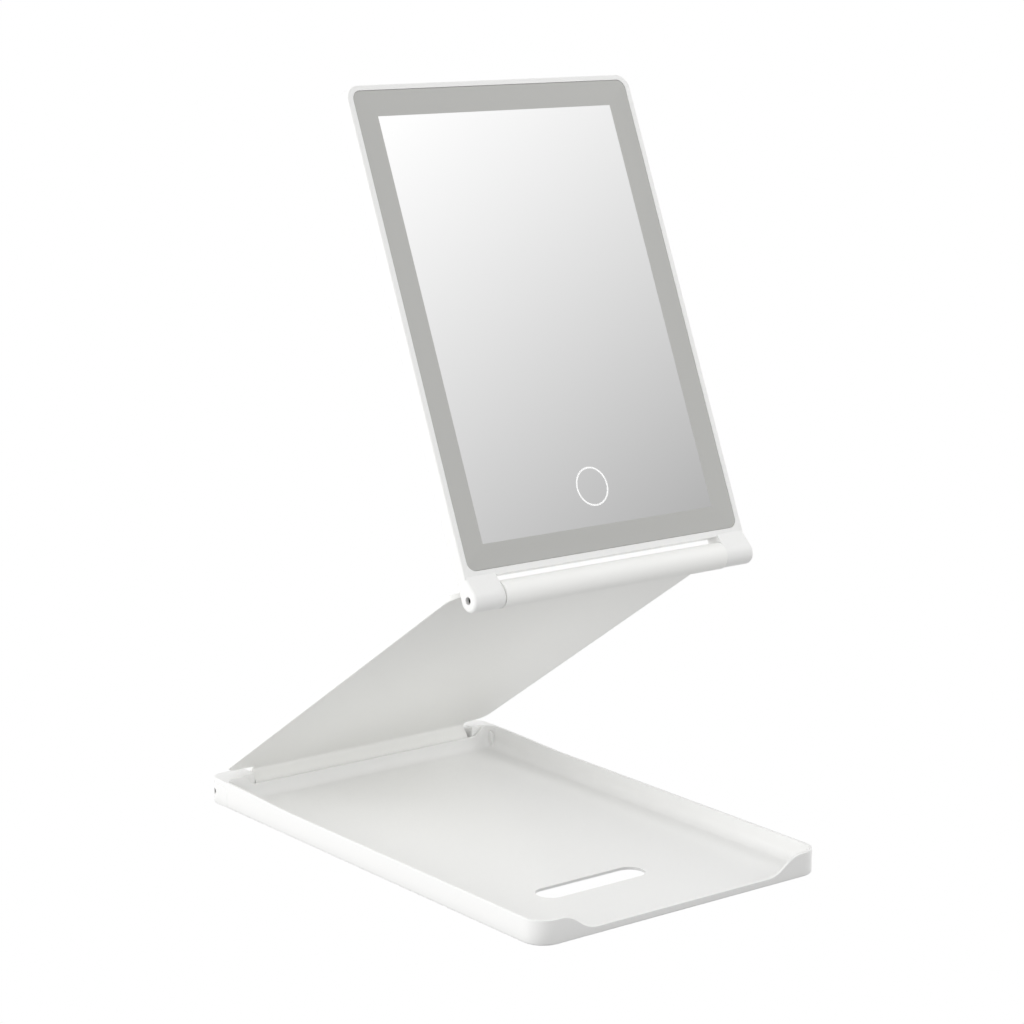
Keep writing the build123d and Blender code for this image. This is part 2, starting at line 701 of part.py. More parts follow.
with BuildPart() as mirror_back:
    with BuildSketch(panel.offset(frame_rear)):
        add(
            upright(
                cavity_half_width - back_fit,
                cavity_bottom + back_fit,
                cavity_top - back_fit,
                cavity_radius - back_fit,
            )
        )
    extrude(amount=back_thickness)
    rear_face = mirror_back.faces().sort_by(forward)[0]
    chamfer(rear_face.edges(), length=back_edge)
    # Posts for the control board.
    post_x = (board_left + post_inset, board_right - post_inset)
    post_y = (board_top - board_length + post_inset, board_top - post_inset)
    with BuildSketch(panel.offset(back_front)):
        with Locations(*[(x, y) for x in post_x for y in post_y]):
            Circle(post_radius)
    extrude(amount=board_rear - back_front)
    # Screw holes, countersunk from the rear.
    cover_rear = Plane(
        origin=panel.from_local_coords((0, 0, frame_rear)), x_dir=(1, 0, 0), z_dir=-panel.z_dir
    )
    with Locations(cover_rear):
        with Locations(*[(x, -y) for x, y in back_screw_places]):
            CounterSinkHole(
                radius=back_screw_diameter / 2 + back_fit,
                counter_sink_radius=back_screw_head / 2 + back_fit,
                depth=back_thickness,
                counter_sink_angle=90,
            )
mirror_back.part.label = "mirror_back"
export_step(mirror_back.part, "parts/mirror_back.step")

with BuildPart() as back_screws:
    with BuildSketch(panel.offset(frame_rear)):
        with Locations(*back_screw_places):
            Circle(back_screw_diameter / 2)
    extrude(amount=back_screw_length)
    back_head_depth = (back_screw_head - back_screw_diameter) / 2
    with Locations(panel.offset(frame_rear + back_head_depth / 2)):
        with Locations(*back_screw_places):
            Cone(back_screw_head / 2, back_screw_diameter / 2, back_head_depth)
back_screws.part.label = "back_screws"
export_step(back_screws.part, "parts/back_screws.step")

with BuildPart() as mirror_glass:
    with BuildSketch(panel.offset(glass_rear)):
        add(behind_glass(0, glass_corner_radius))
    extrude(amount=glass_thickness)
mirror_glass.part.label = "mirror_glass"
export_step(mirror_glass.part, "parts/mirror_glass.step")

with BuildPart() as glass_tape:
    with BuildSketch(panel.offset(ledge_front)):
        add(behind_glass(0, glass_corner_radius))
        add(behind_glass(tape_width, glass_corner_radius - tape_width), mode=Mode.SUBTRACT)
    extrude(amount=tape_thickness)
glass_tape.part.label = "glass_tape"
export_step(glass_tape.part, "parts/glass_tape.step")

# ================================================================ light inside the panel
guide_outer = ledge_width + guide_fit
guide_inner = band_width + guide_overlap
guide_corner = glass_corner_radius - guide_outer

with BuildPart() as light_guide:
    with BuildSketch(panel.offset(guide_rear)):
        add(behind_glass(guide_outer, guide_corner))
        add(behind_glass(guide_inner, guide_corner), mode=Mode.SUBTRACT)
    extrude(amount=guide_thickness)
light_guide.part.label = "light_guide"
export_step(light_guide.part, "parts/light_guide.step")

with BuildPart() as reflector_sheet:
    with BuildSketch(panel.offset(reflector_rear)):
        add(behind_glass(guide_outer, guide_corner))
        add(behind_glass(guide_inner, guide_corner), mode=Mode.SUBTRACT)
    extrude(amount=reflector_thickness)
reflector_sheet.part.label = "reflector_sheet"
export_step(reflector_sheet.part, "parts/reflector_sheet.step")

# Light strips on the frame's side walls, lamps facing the guide's edge.
for side, strip_start, strip_label in (
    (-1, left_strip_start, "led_strip_left"),
    (1, right_strip_start, "led_strip_right"),
):
    strip_length = strip_end - strip_start
    led_count = int(strip_length // led_pitch)
    with BuildPart() as led_strip:
        with BuildSketch(across(panel, side * cavity_half_width)):
            with Locations((strip_start + strip_length / 2, ledge_rear - strip_height / 2)):
                Rectangle(strip_length, strip_height)
        extrude(amount=-side * strip_thickness)
        with BuildSketch(across(panel, side * strip_face)):
            for index in range(led_count):
                with Locations((strip_start + (index + 0.5) * led_pitch, ledge_rear - led_height / 2)):
                    Rectangle(led_length, led_height)
        extrude(amount=-side * led_depth)
    led_strip.part.label = strip_label
    export_step(led_strip.part, f"parts/{strip_label}.step")

# ================================================================ electrics inside the panel
with BuildPart() as battery_tape:
    with BuildSketch(panel.offset(back_front)):
        with Locations((0, battery_height)):
            Rectangle(battery_width, battery_length)
    extrude(amount=battery_tape_thickness)
battery_tape.part.label = "battery_tape"
export_step(battery_tape.part, "parts/battery_tape.step")

with BuildPart() as battery:
    with BuildSketch(panel.offset(back_front + battery_tape_thickness)):
        with Locations((0, battery_height)):
            Rectangle(battery_width, battery_length)
    extrude(amount=battery_thickness)
    fillet(battery.edges().filter_by(upward), radius=battery_edge_round)
battery.part.label = "battery"
export_step(battery.part, "parts/battery.step")

with BuildPart() as control_board:
    with BuildSketch(panel.offset(board_rear)):
        with Locations(((board_left + board_right) / 2, board_height)):
            Rectangle(board_width, board_length)
    extrude(amount=board_thickness)
    with BuildSketch(panel.offset(board_front)):
        with Locations((board_left + chip_group_inset, board_height)):
            with GridLocations(chip_pitch, chip_pitch, 2, 2):
                Rectangle(chip_size, chip_size)
    extrude(amount=chip_thickness)
control_board.part.label = "control_board"
export_step(control_board.part, "parts/control_board.step")

with BuildPart() as usb_socket:
    with BuildSketch(across(panel, board_right)):
        with Locations((socket_height, socket_level)):
            RectangleRounded(socket_width, socket_thickness, socket_corner)
    extrude(amount=socket_depth)
    with BuildSketch(across(panel, board_right + socket_wall)):
        with Locations((socket_height, socket_level)):
            RectangleRounded(
                socket_width - 2 * socket_shell,
                socket_thickness - 2 * socket_shell,
                socket_corner - socket_shell,
            )
    extrude(amount=socket_depth, mode=Mode.SUBTRACT)
    with BuildSketch(across(panel, board_right + socket_wall)):
        with Locations((socket_height, socket_level)):
            Rectangle(socket_tongue_width, socket_tongue_thickness)
    extrude(amount=socket_tongue_length)
usb_socket.part.label = "usb_socket"
export_step(usb_socket.part, "parts/usb_socket.step")

with BuildPart() as light_pipe:
    with BuildSketch(across(panel, board_right)):
        with Locations((light_pipe_height, socket_level)):
            Circle(light_pipe_diameter / 2)
    extrude(amount=socket_depth)
light_pipe.part.label = "light_pipe"
export_step(light_pipe.part, "parts/light_pipe.step")

with BuildPart() as touch_sensor:
    # Film behind the glass with a tail that turns back to the board.
    tail_end = board_left + lead_lap
    with BuildSketch(panel.offset(glass_rear - sensor_thickness)):
        with Locations((0, sensor_height)):
            Circle(sensor_radius)
        with Locations((tail_end / 2, sensor_height)):
            Rectangle(tail_end, sensor_tail_width)
    extrude(amount=sensor_thickness)
    with BuildSketch(across(panel, tail_end - sensor_thickness)):
        with Locations((sensor_height, (glass_rear + board_front) / 2)):
            Rectangle(sensor_tail_width, glass_rear - board_front)
    extrude(amount=sensor_thickness)
touch_sensor.part.label = "touch_sensor"
export_step(touch_sensor.part, "parts/touch_sensor.step")

with BuildPart() as battery_leads:
    lead_start = board_top - lead_lap
    lead_end = battery_height - battery_length / 2
    lead_plane = Plane(
        origin=panel.from_local_coords((0, lead_start, 0)), x_dir=(1, 0, 0), z_dir=panel.y_dir
    )
    with BuildSketch(lead_plane):
        with Locations(*[(board_left + lead_lap + step * lead_pitch, -lead_level) for step in (0, 1)]):
            Circle(lead_diameter / 2)
    extrude(amount=lead_end - lead_start)
battery_leads.part.label = "battery_leads"
export_step(battery_leads.part, "parts/battery_leads.step")

# A pair of leads from the board to each light strip, between two lamps.
left_lead_height = left_strip_start + left_lead_step * led_pitch
for start_x, end_x, lead_height, leads_label in (
    (board_left + lead_lap, -strip_face, left_lead_height, "light_leads_left"),
    (board_right - lead_lap, strip_face, board_top - lead_lap - lead_pitch, "light_leads_right"),
):
    with BuildPart() as light_leads:
        with BuildSketch(across(panel, start_x)):
            for height in (lead_height, lead_height + lead_pitch):
                with Locations((height, lead_level)):
                    Circle(lead_diameter / 2)
        extrude(amount=end_x - start_x)
    light_leads.part.label = leads_label
    export_step(light_leads.part, f"parts/{leads_label}.step")
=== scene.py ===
import json
from math import cos, radians, sin

import bmesh
import bpy
from bpy.props import FloatProperty, FloatVectorProperty, PointerProperty
from bpy.types import Operator, Panel, PropertyGroup
from mathutils import Matrix, Vector


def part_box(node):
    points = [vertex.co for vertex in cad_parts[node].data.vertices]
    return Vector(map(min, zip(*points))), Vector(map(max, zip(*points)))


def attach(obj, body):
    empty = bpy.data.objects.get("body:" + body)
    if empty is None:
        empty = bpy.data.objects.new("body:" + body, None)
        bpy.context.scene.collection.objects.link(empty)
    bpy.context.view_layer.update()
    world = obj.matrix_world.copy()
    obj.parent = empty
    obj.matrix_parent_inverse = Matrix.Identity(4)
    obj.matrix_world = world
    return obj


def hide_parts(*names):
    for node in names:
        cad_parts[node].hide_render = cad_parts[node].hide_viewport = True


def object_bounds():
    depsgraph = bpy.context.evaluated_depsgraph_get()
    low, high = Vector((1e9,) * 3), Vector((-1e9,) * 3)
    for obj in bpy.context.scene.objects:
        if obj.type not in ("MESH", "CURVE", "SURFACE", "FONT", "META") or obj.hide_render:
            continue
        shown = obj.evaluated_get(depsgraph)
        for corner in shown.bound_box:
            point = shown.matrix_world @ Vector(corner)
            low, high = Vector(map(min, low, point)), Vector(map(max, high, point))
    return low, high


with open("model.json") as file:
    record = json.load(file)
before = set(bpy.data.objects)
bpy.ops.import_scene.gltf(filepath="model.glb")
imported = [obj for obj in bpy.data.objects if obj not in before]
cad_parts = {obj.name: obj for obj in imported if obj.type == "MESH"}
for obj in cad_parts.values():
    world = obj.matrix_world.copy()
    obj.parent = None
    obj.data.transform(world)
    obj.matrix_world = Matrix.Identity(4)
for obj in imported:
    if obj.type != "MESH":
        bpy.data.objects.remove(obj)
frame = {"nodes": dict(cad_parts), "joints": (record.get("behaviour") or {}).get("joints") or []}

bl_info = {
    "name": "Trifold Vanity Mirror",
    "version": (1, 0, 0),
    "blender": (4, 5, 0),
    "location": "3D View > Sidebar > Vanity Mirror",
    "description": "Dresses a folding vanity mirror: glass, touch ring, white mouldings, screws and studio",
    "category": "Object",
}


# ---------------------------------------------------------------- places on the CAD parts
CAD_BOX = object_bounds()
NODES = frame["nodes"]
AXES = {joint["name"]: Vector(joint["pos_m"]) for joint in frame["joints"]}

# The panel's own directions: out of the glass's face, across it and up along it.
GLASS_FACE = max(
    (face for face in NODES["mirror_glass"].data.polygons if face.normal.y < 0),
    key=lambda face: face.area,
)
PANEL_OUT = GLASS_FACE.normal.normalized()
PANEL_RIGHT = Vector((1, 0, 0))
PANEL_UP = PANEL_OUT.cross(PANEL_RIGHT).normalized()

WELD = 1e-6  # vertices nearer to each other than this are one
COLUMN_DIGITS = 3  # solids stand in one column where their X agrees to a millimetre


def panel_reach(node, direction):
    """Lowest and highest place of a CAD node along a direction from the upper axis."""
    places = [(vertex.co - AXES["mirror_tilt"]).dot(direction) for vertex in NODES[node].data.vertices]
    return min(places), max(places)


def middle(places):
    """Mean of some places."""
    return sum(places, Vector()) / len(places)


def solids(node):
    """Vertices of each separate solid of a CAD node, by columns from the left, each from the front."""
    mesh = bmesh.new()
    mesh.from_mesh(NODES[node].data)
    bmesh.ops.remove_doubles(mesh, verts=mesh.verts, dist=WELD)
    reached, groups = set(), []
    for start in mesh.verts:
        if start in reached:
            continue
        reached.add(start)
        group = [start]
        for vertex in group:  # the group grows while it is gone through
            for edge in vertex.link_edges:
                near = edge.other_vert(vertex)
                if near not in reached:
                    reached.add(near)
                    group.append(near)
        groups.append([vertex.co.copy() for vertex in group])
    mesh.free()
    return sorted(groups, key=lambda group: (round(middle(group).x, COLUMN_DIGITS), middle(group).y))


GLASS_LOW, GLASS_HIGH = panel_reach("mirror_glass", PANEL_UP)
GLASS_REAR, GLASS_FRONT = panel_reach("mirror_glass", PANEL_OUT)
GLASS_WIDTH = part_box("mirror_glass")[1].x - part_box("mirror_glass")[0].x
GLASS_HEIGHT = GLASS_HIGH - GLASS_LOW
GLASS_DEPTH = GLASS_FRONT - GLASS_REAR
GLASS_MIDDLE = (GLASS_LOW + GLASS_HIGH) / 2

SENSOR_LOW, SENSOR_HIGH = panel_reach("touch_sensor", PANEL_UP)
SENSOR_RADIUS = (SENSOR_HIGH - SENSOR_LOW) / 2
RING_HEIGHT = (SENSOR_LOW + SENSOR_HIGH) / 2


# ---------------------------------------------------------------- fixed values
# Modelling.
CORNER_STEPS = 10  # facets of the glass's rounded corners
EDGE_STEPS = 2  # facets of a ground or rounded edge
RING_SIDES = 96
SCREW_SIDES = 40
SCREW_TURN = radians(37)  # from one screw's cross to the next
SMOOTH_ANGLE = radians(30)  # edges sharper than this stay sharp
FACING = 0.9  # least part of a face's normal along the direction that it looks in
FRONT_SHARE = 0.99  # of the half depth: the glass's front lies above it, its ground edge below
SLACK = 1e-5  # between places that should be equal

# Finishes. Colours are linear.
SILVERED = 1  # the silvered face's material slot, after the frosted one
BAND_MOTTLE = 0.03  # share by which the frosted band gets darker and lighter
RING_MOTTLE = 0.02  # share by which the ring gets darker
LINE_STRETCH = (0.03, 1, 1)  # draws a metal's lines out along X
STRIP_WHITE = (0.85, 0.85, 0.83)
STRIP_LAMP = (0.85, 0.68, 0.2)
BLACK, WHITE = (0, 0, 0, 1), (1, 1, 1, 1)

# Heights in the sky, as the Z of a direction, between which its bands change.
SKY_RISE = (0.206, 0.413)
COVE_FALL = (0.18, 0.26)
CEILING_FALL = (0.55, 0.85)

# Studio, in metres where nothing else is said.
FILM_WIDTH = 36.0  # in mm
CLIP_NEAR, CLIP_FAR = 0.05, 100.0
FLOOR_SIZE = 60.0
BOARD_SIDE, BOARD_FRONT = -0.1, -0.15  # where the bounce boards meet, in X and in Y
BOARD_DROP = 0.0005  # bounce boards below the floor
SHADE_DROP = 0.0003  # dark board below the floor, over the bounce boards
SHADE_REACH = 0.003  # how far it comes out from under the tray
LAMP_SIZE = 1.2
LAMP_AIM = (0, 0, 0.12)
LEFT_LAMP = (-1.6, -0.2, 0.9)
RIGHT_LAMP = (1.5, -0.6, 0.7)
REAR_LAMP = (-1.2, 1.0, 0.5)


# ---------------------------------------------------------------- settings
def length(name, default, description):
    """A size in metres."""
    return FloatProperty(
        name=name, description=description, default=default, min=0.0, unit="LENGTH", subtype="DISTANCE",
        precision=5,
    )


def angle(name, default, description):
    """An angle, given here in degrees."""
    return FloatProperty(name=name, description=description, default=radians(default), subtype="ANGLE")


def colour(name, default, description):
    """A linear colour."""
    return FloatVectorProperty(
        name=name, description=description, default=default, size=3, min=0.0, max=1.0, subtype="COLOR"
    )


def amount(name, default, description, top=1.0):
    """A plain number."""
    return FloatProperty(name=name, description=description, default=default, min=0.0, max=top)


class VanityMirrorSizes(PropertyGroup):
    """Sizes of what is modelled on the CAD parts."""

    glass_corner: length("Glass corner", 0.005, "Radius of the glass's corners")
    glass_edge: length("Glass edge", 0.00025, "Ground edge round the face of the glass")
    band_width: length("Frosted band", 0.01325, "Border round the silvered face, for the light")
    silver_aside: length("Silver aside", 0.0007, "Shift of the silvered face to the left")
    silver_down: length("Silver down", 0.0006, "Shift of the silvered face downwards")
    ring_inset: length("Touch ring inset", 0.0006, "From the touch sensor's edge in to the line's middle")
    ring_line: length("Touch ring line", 0.0009, "Width of the printed line")
    ring_print: length("Touch ring print", 0.00003, "Height of the print on the glass")
    head_edge: length("Screw head edge", 0.00008, "Rounding of a screw head's rim")
    recess_span: amount("Screw recess", 0.56, "Width of the cross recess, as a share of the screw's head")
    recess_arm: length("Screw recess arm", 0.0004, "Width of one arm of the cross")
    recess_depth: length("Screw recess depth", 0.0005, "Depth of the cross recess")


class VanityMirrorColours(PropertyGroup):
    """Colours and roughness of the finishes."""

    tray_white: colour("Tray white", (0.90, 0.90, 0.89), "Moulded white of the tray")
    arm_white: colour("Arm white", (0.95, 0.95, 0.93), "Satin white of the arm")
    panel_white: colour("Panel white", (0.90, 0.90, 0.89), "Moulded white of the mirror's frame and back")
    band_grey: colour("Band grey", (0.485, 0.485, 0.468), "Frosted band, unlit")
    silver: colour("Silver", (0.97, 0.97, 0.97), "Silvering seen through the glass")
    ring_white: colour("Ring white", (0.95, 0.95, 0.95), "Printed touch ring")
    # Painted glow: the printed ring is given a little light of its own, though it is no lamp.
    ring_painted_glow: amount("Ring glow", 0.15, "Light that the ring gives off")
    tray_roughness: amount("Tray roughness", 0.28, "Roughness of the tray and the mirror's frame")
    arm_roughness: amount("Arm roughness", 0.45, "Roughness of the arm")


class VanityMirrorStudio(PropertyGroup):
    """Camera, floor and light."""

    azimuth: angle("Azimuth", -38.87, "Camera's turn about the object")
    elevation: angle("Elevation", 12.26, "Camera's height above the horizon")
    roll: angle("Roll", 0.81, "Camera's roll")
    distance: length("Distance", 1.56198, "Camera to the point that it looks at")
    look_at: FloatVectorProperty(
        name="Look at", description="Point in the middle of the view", default=(0.0, -0.00271, 0.18053),
        size=3, unit="LENGTH", subtype="XYZ",
    )
    lens: FloatProperty(name="Lens", description="Focal length in mm", default=103.35, unit="CAMERA")
    sky_low: amount("Low sky", 0.37, "Brightness of the dim band over the cove", 5.0)
    sky_high: amount("High sky", 1.08, "Brightness of the sky over the dim band", 5.0)
    sky_lean: amount("Sky lean", 0.224, "How much higher the dim band reaches at the right")
    sky_fade: amount("Ceiling fade", 0.5, "How much darker the sky gets straight overhead", 5.0)
    cove_glow: amount("Cove", 0.63, "Brightness that the cove adds just over the floor", 5.0)
    floor_glow: amount("Floor", 1.0, "Brightness of the floor", 5.0)
    bounce_left: amount("Left bounce", 0.54, "Light from the board under the floor at the left", 5.0)
    bounce_front: amount("Front bounce", 0.19, "Light from the board under the floor in front", 5.0)
    bounce_rear: amount("Rear bounce", 0.46, "Light from the board under and behind the mirror", 5.0)
    left_light: amount("Left light", 5.8, "Power of the softbox at the left, in watts", 1000.0)
    right_light: amount("Right light", 10.4, "Power of the softbox at the right, in watts", 1000.0)
    rear_light: amount("Rear light", 7.0, "Power of the softbox behind at the left, in watts", 1000.0)


SETTINGS = {
    "vanity_sizes": VanityMirrorSizes,
    "vanity_colours": VanityMirrorColours,
    "vanity_studio": VanityMirrorStudio,
}


# ---------------------------------------------------------------- materials
def add_node(tree, kind, links=(), **values):
    """New node. Values go to its settings or sockets, and links bring other nodes' outputs to it."""
    made = tree.nodes.new(kind)
    for key, value in values.items():
        if hasattr(made, key):
            setattr(made, key, value)
        else:
            made.inputs[key.replace("_", " ")].default_value = value
    for source, socket in links:
        tree.links.new(source, made.inputs[socket])
    return made


def new_material(name, **uniform):
    """Material with its tree and Principled shader, whose own sockets hold what is uniform."""
    material = bpy.data.materials.new(name)
    material.use_nodes = True
    tree = material.node_tree
    shader = next(node for node in tree.nodes if node.type == "BSDF_PRINCIPLED")
    for socket, value in uniform.items():
        shader.inputs[socket.replace("_", " ")].default_value = value
    return material, tree, shader


def own_place(tree):
    """The piece's own coordinates, which keep a pattern fixed to it."""
    return add_node(tree, "ShaderNodeTexCoord").outputs["Object"]


def noise(tree, place, **values):
    """Noise pattern."""
    return add_node(tree, "ShaderNodeTexNoise", [(place, "Vector")], **values).outputs["Fac"]


def shaded(tint, share):
    """A colour times a share."""
    return [channel * share for channel in tint]


def vary_colour(tree, shader, pattern, dark, light):
    """Let the colour go from dark to light with a pattern."""
    mix = add_node(
        tree, "ShaderNodeMix", [(pattern, "Factor")], data_type="RGBA", A=(*dark, 1), B=(*light, 1)
    )
    tree.links.new(mix.outputs["Result"], shader.inputs["Base Color"])


def vary_roughness(tree, shader, pattern, low, high):
    """Let the roughness go from low to high with a pattern."""
    ramp = add_node(tree, "ShaderNodeMapRange", [(pattern, "Value")], To_Min=low, To_Max=high)
    tree.links.new(ramp.outputs["Result"], shader.inputs["Roughness"])


def moulded_plastic(name, white, roughness, grain=0.0003, relief=0.000004, clouding=0.006, spread=0.02):
    """Moulded plastic: fine spark-eroded grain, faint flow clouding, gloss that varies a little."""
    material, tree, shader = new_material(name, IOR=1.5)
    place = own_place(tree)
    flow = noise(tree, place, Scale=14.0, Detail=3.0, Roughness=0.5)
    fine = noise(tree, place, Scale=1.0 / grain, Detail=2.0, Roughness=0.6)
    lightest = [min(1, channel) for channel in shaded(white, 1 + clouding)]
    vary_colour(tree, shader, flow, shaded(white, 1 - clouding), lightest)
    vary_roughness(tree, shader, fine, roughness - spread, roughness + spread)
    bump = add_node(tree, "ShaderNodeBump", [(fine, "Height")], Strength=0.25, Distance=relief)
    tree.links.new(bump.outputs["Normal"], shader.inputs["Normal"])
    return material


def metal(name, tint, roughness, brushed=900.0, darkest=0.85, spread=0.2):
    """Drawn or ground metal with fine lines along X."""
    material, tree, shader = new_material(name, Metallic=1.0)
    along = add_node(tree, "ShaderNodeMapping", [(own_place(tree), "Vector")], Scale=LINE_STRETCH)
    lines = noise(tree, along.outputs["Vector"], Scale=brushed, Detail=3.0)
    vary_colour(tree, shader, lines, shaded(tint, darkest), tint)
    vary_roughness(tree, shader, lines, roughness * (1 - spread), roughness * (1 + spread))
    return material


def speckled(name, dark, light, scale, roughness, coat=0.0, glow=0.0, spread=0.05):
    """Finish whose colour varies in fine specks, such as a frosted coat, rubber or film."""
    material, tree, shader = new_material(
        name, Emission_Color=WHITE, Emission_Strength=glow, Coat_Weight=coat, Coat_Roughness=0.03
    )
    specks = noise(tree, own_place(tree), Scale=scale, Detail=4.0, Roughness=0.7)
    vary_colour(tree, shader, specks, dark, light)
    vary_roughness(tree, shader, specks, roughness - spread, roughness + spread)
    return material


def silvering(name, tint, haze=0.02):
    """Silver behind polished glass, with the faintest haze of handling."""
    material, tree, shader = new_material(name, Base_Color=(*tint, 1), Metallic=1.0)
    smears = noise(tree, own_place(tree), Scale=22.0, Detail=4.0, Roughness=0.55)
    vary_roughness(tree, shader, smears, 0.0, haze)
    return material


def lamp_strip(name):
    """White strip with a warm lamp every few millimetres."""
    material, tree, shader = new_material(name, Roughness=0.5)
    dots = add_node(
        tree, "ShaderNodeTexWave", [(own_place(tree), "Vector")], Scale=36.0, Distortion=0.0,
        bands_direction="Z",
    )
    vary_colour(tree, shader, dots.outputs["Fac"], STRIP_WHITE, STRIP_LAMP)
    return material


# ---------------------------------------------------------------- making pieces
def deselect_all():
    """Leave nothing selected."""
    if bpy.context.object and bpy.context.object.mode != "OBJECT":
        bpy.ops.object.mode_set(mode="OBJECT")
    bpy.ops.object.select_all(action="DESELECT")


def choose(piece):
    """Make this the only selected and the active object."""
    deselect_all()
    piece.select_set(True)
    bpy.context.view_layer.objects.active = piece


def pick(piece, faces=None, edges=None):
    """In edit mode, select the faces or edges that the test accepts, by their place or normal."""
    mesh = bmesh.from_edit_mesh(piece.data)
    bpy.ops.mesh.select_all(action="DESELECT")
    bpy.ops.mesh.select_mode(type="FACE" if faces else "EDGE")
    for element in mesh.faces if faces else mesh.edges:
        if (faces or edges)(element):
            element.select_set(True)
    bmesh.update_edit_mesh(piece.data)


def finish_piece(piece, name, body, material, turn=None, replaced=()):
    """Name a piece, put its place in its mesh and let it ride on its body."""
    if turn:
        piece.matrix_world = turn @ piece.matrix_world
    choose(piece)
    bpy.ops.object.transform_apply(location=True, rotation=True, scale=True)
    piece.name = piece.data.name = name
    if not piece.data.materials:
        piece.data.materials.append(material)
    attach(piece, body)
    if replaced:
        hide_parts(*replaced)
    return piece


def panel_place(out):
    """Turn and place that carry XY onto the panel, its Z out of the glass, from the upper axis."""
    turn = Matrix((PANEL_RIGHT, PANEL_UP, PANEL_OUT)).transposed().to_4x4()
    return Matrix.Translation(AXES["mirror_tilt"] + PANEL_OUT * out) @ turn


class VANITY_OT_glass(Operator):
    """Glass with its ground edge, the frosted band and the silvered face inside it"""

    bl_idname = "vanity.glass"
    bl_label = "Glass"

    def execute(self, context):
        sizes, colours = context.scene.vanity_sizes, context.scene.vanity_colours
        glass = self.pane(sizes)
        frosted = speckled(
            "frosted_band", shaded(colours.band_grey, 1 - BAND_MOTTLE),
            shaded(colours.band_grey, 1 + BAND_MOTTLE), 3000.0, 0.5, coat=0.35,
        )
        glass.data.materials.append(frosted)
        glass.data.materials.append(silvering("silvered_glass", colours.silver))
        self.fill_front(glass, sizes)
        finish_piece(
            glass, "glass_panel", "mirror", None, panel_place(GLASS_FRONT), ["mirror_glass"]
        )
        return {"FINISHED"}

    def pane(self, sizes):
        """Pane with rounded corners and a ground edge, open at the front."""
        front = GLASS_DEPTH / 2
        deselect_all()
        bpy.ops.mesh.primitive_cube_add(size=1, location=(0, GLASS_MIDDLE, -front))
        glass = bpy.context.object
        glass.scale = (GLASS_WIDTH, GLASS_HEIGHT, GLASS_DEPTH)
        bpy.ops.object.transform_apply(location=False, rotation=False, scale=True)
        bpy.ops.object.mode_set(mode="EDIT")
        pick(glass, edges=lambda edge: abs(edge.verts[0].co.z - edge.verts[1].co.z) > front)
        bpy.ops.mesh.bevel(offset=sizes.glass_corner, segments=CORNER_STEPS)
        pick(glass, faces=lambda face: face.normal.z > FACING)
        bpy.ops.mesh.region_to_loop()
        bpy.ops.mesh.bevel(offset=sizes.glass_edge, segments=EDGE_STEPS)
        lowest = front * FRONT_SHARE
        pick(glass, faces=lambda face: face.normal.z > FACING and face.calc_center_median().z > lowest)
        bpy.ops.mesh.delete(type="ONLY_FACE")
        bpy.ops.mesh.select_all(action="DESELECT")
        bpy.ops.object.mode_set(mode="OBJECT")
        return glass

    def fill_front(self, glass, sizes):
        """Set the silvered face into the open front, and join the two by the frosted band."""
        front = GLASS_DEPTH / 2
        half_x, half_y = GLASS_WIDTH / 2 - sizes.band_width, GLASS_HEIGHT / 2 - sizes.band_width
        deselect_all()
        bpy.ops.mesh.primitive_plane_add(size=2, location=(0, GLASS_MIDDLE, -front))
        face = bpy.context.object
        face.scale = (half_x, half_y, 1)
        bpy.ops.object.transform_apply(location=False, rotation=False, scale=True)
        face.data.transform(Matrix.Translation((-sizes.silver_aside, -sizes.silver_down, front)))
        choose(glass)
        face.select_set(True)
        bpy.ops.object.join()
        bpy.ops.object.mode_set(mode="EDIT")
        pick(glass, edges=lambda edge: edge.is_boundary)
        bpy.ops.mesh.bridge_edge_loops()
        bpy.ops.mesh.select_all(action="SELECT")
        bpy.ops.mesh.normals_make_consistent(inside=False)
        mesh = bmesh.from_edit_mesh(glass.data)
        for part in mesh.faces:
            inside = all(
                abs(vertex.co.x + sizes.silver_aside) < half_x + SLACK
                and abs(vertex.co.y + sizes.silver_down) < half_y + SLACK
                for vertex in part.verts
            )
            silvered = inside and part.normal.z > FACING and len(part.verts) == 4
            part.material_index = SILVERED if silvered else 0
        bmesh.update_edit_mesh(glass.data)
        bpy.ops.object.mode_set(mode="OBJECT")
        bpy.ops.object.shade_smooth_by_angle(angle=SMOOTH_ANGLE)


class VANITY_OT_touch_ring(Operator):
    """Printed ring on the glass over the touch sensor, with a painted glow"""

    bl_idname = "vanity.touch_ring"
    bl_label = "Touch ring"

    def execute(self, context):
        sizes, colours = context.scene.vanity_sizes, context.scene.vanity_colours
        outer = SENSOR_RADIUS - sizes.ring_inset + sizes.ring_line / 2
        inner = outer - sizes.ring_line
        deselect_all()
        bpy.ops.mesh.primitive_circle_add(
            vertices=RING_SIDES, radius=outer, fill_type="NOTHING", location=(0, RING_HEIGHT, 0)
        )
        ring = context.object
        bpy.ops.object.mode_set(mode="EDIT")
        bpy.ops.mesh.select_all(action="SELECT")
        bpy.ops.mesh.extrude_edges_move()
        bpy.ops.transform.resize(value=(inner / outer, inner / outer, 1))
        bpy.ops.mesh.select_all(action="SELECT")
        bpy.ops.mesh.normals_make_consistent(inside=False)
        bpy.ops.object.mode_set(mode="OBJECT")
        wall = ring.modifiers.new("print", "SOLIDIFY")
        wall.thickness = sizes.ring_print
        wall.offset = 1.0
        bpy.ops.object.modifier_apply(modifier=wall.name)
        # The print gets a painted glow: it gives off a little light, though it is no lamp.
        ink = speckled(
            "ring_print", shaded(colours.ring_white, 1 - RING_MOTTLE), colours.ring_white, 2500.0, 0.4,
            glow=colours.ring_painted_glow,
        )
        finish_piece(ring, "touch_ring", "mirror", ink, panel_place(GLASS_FRONT))
        return {"FINISHED"}


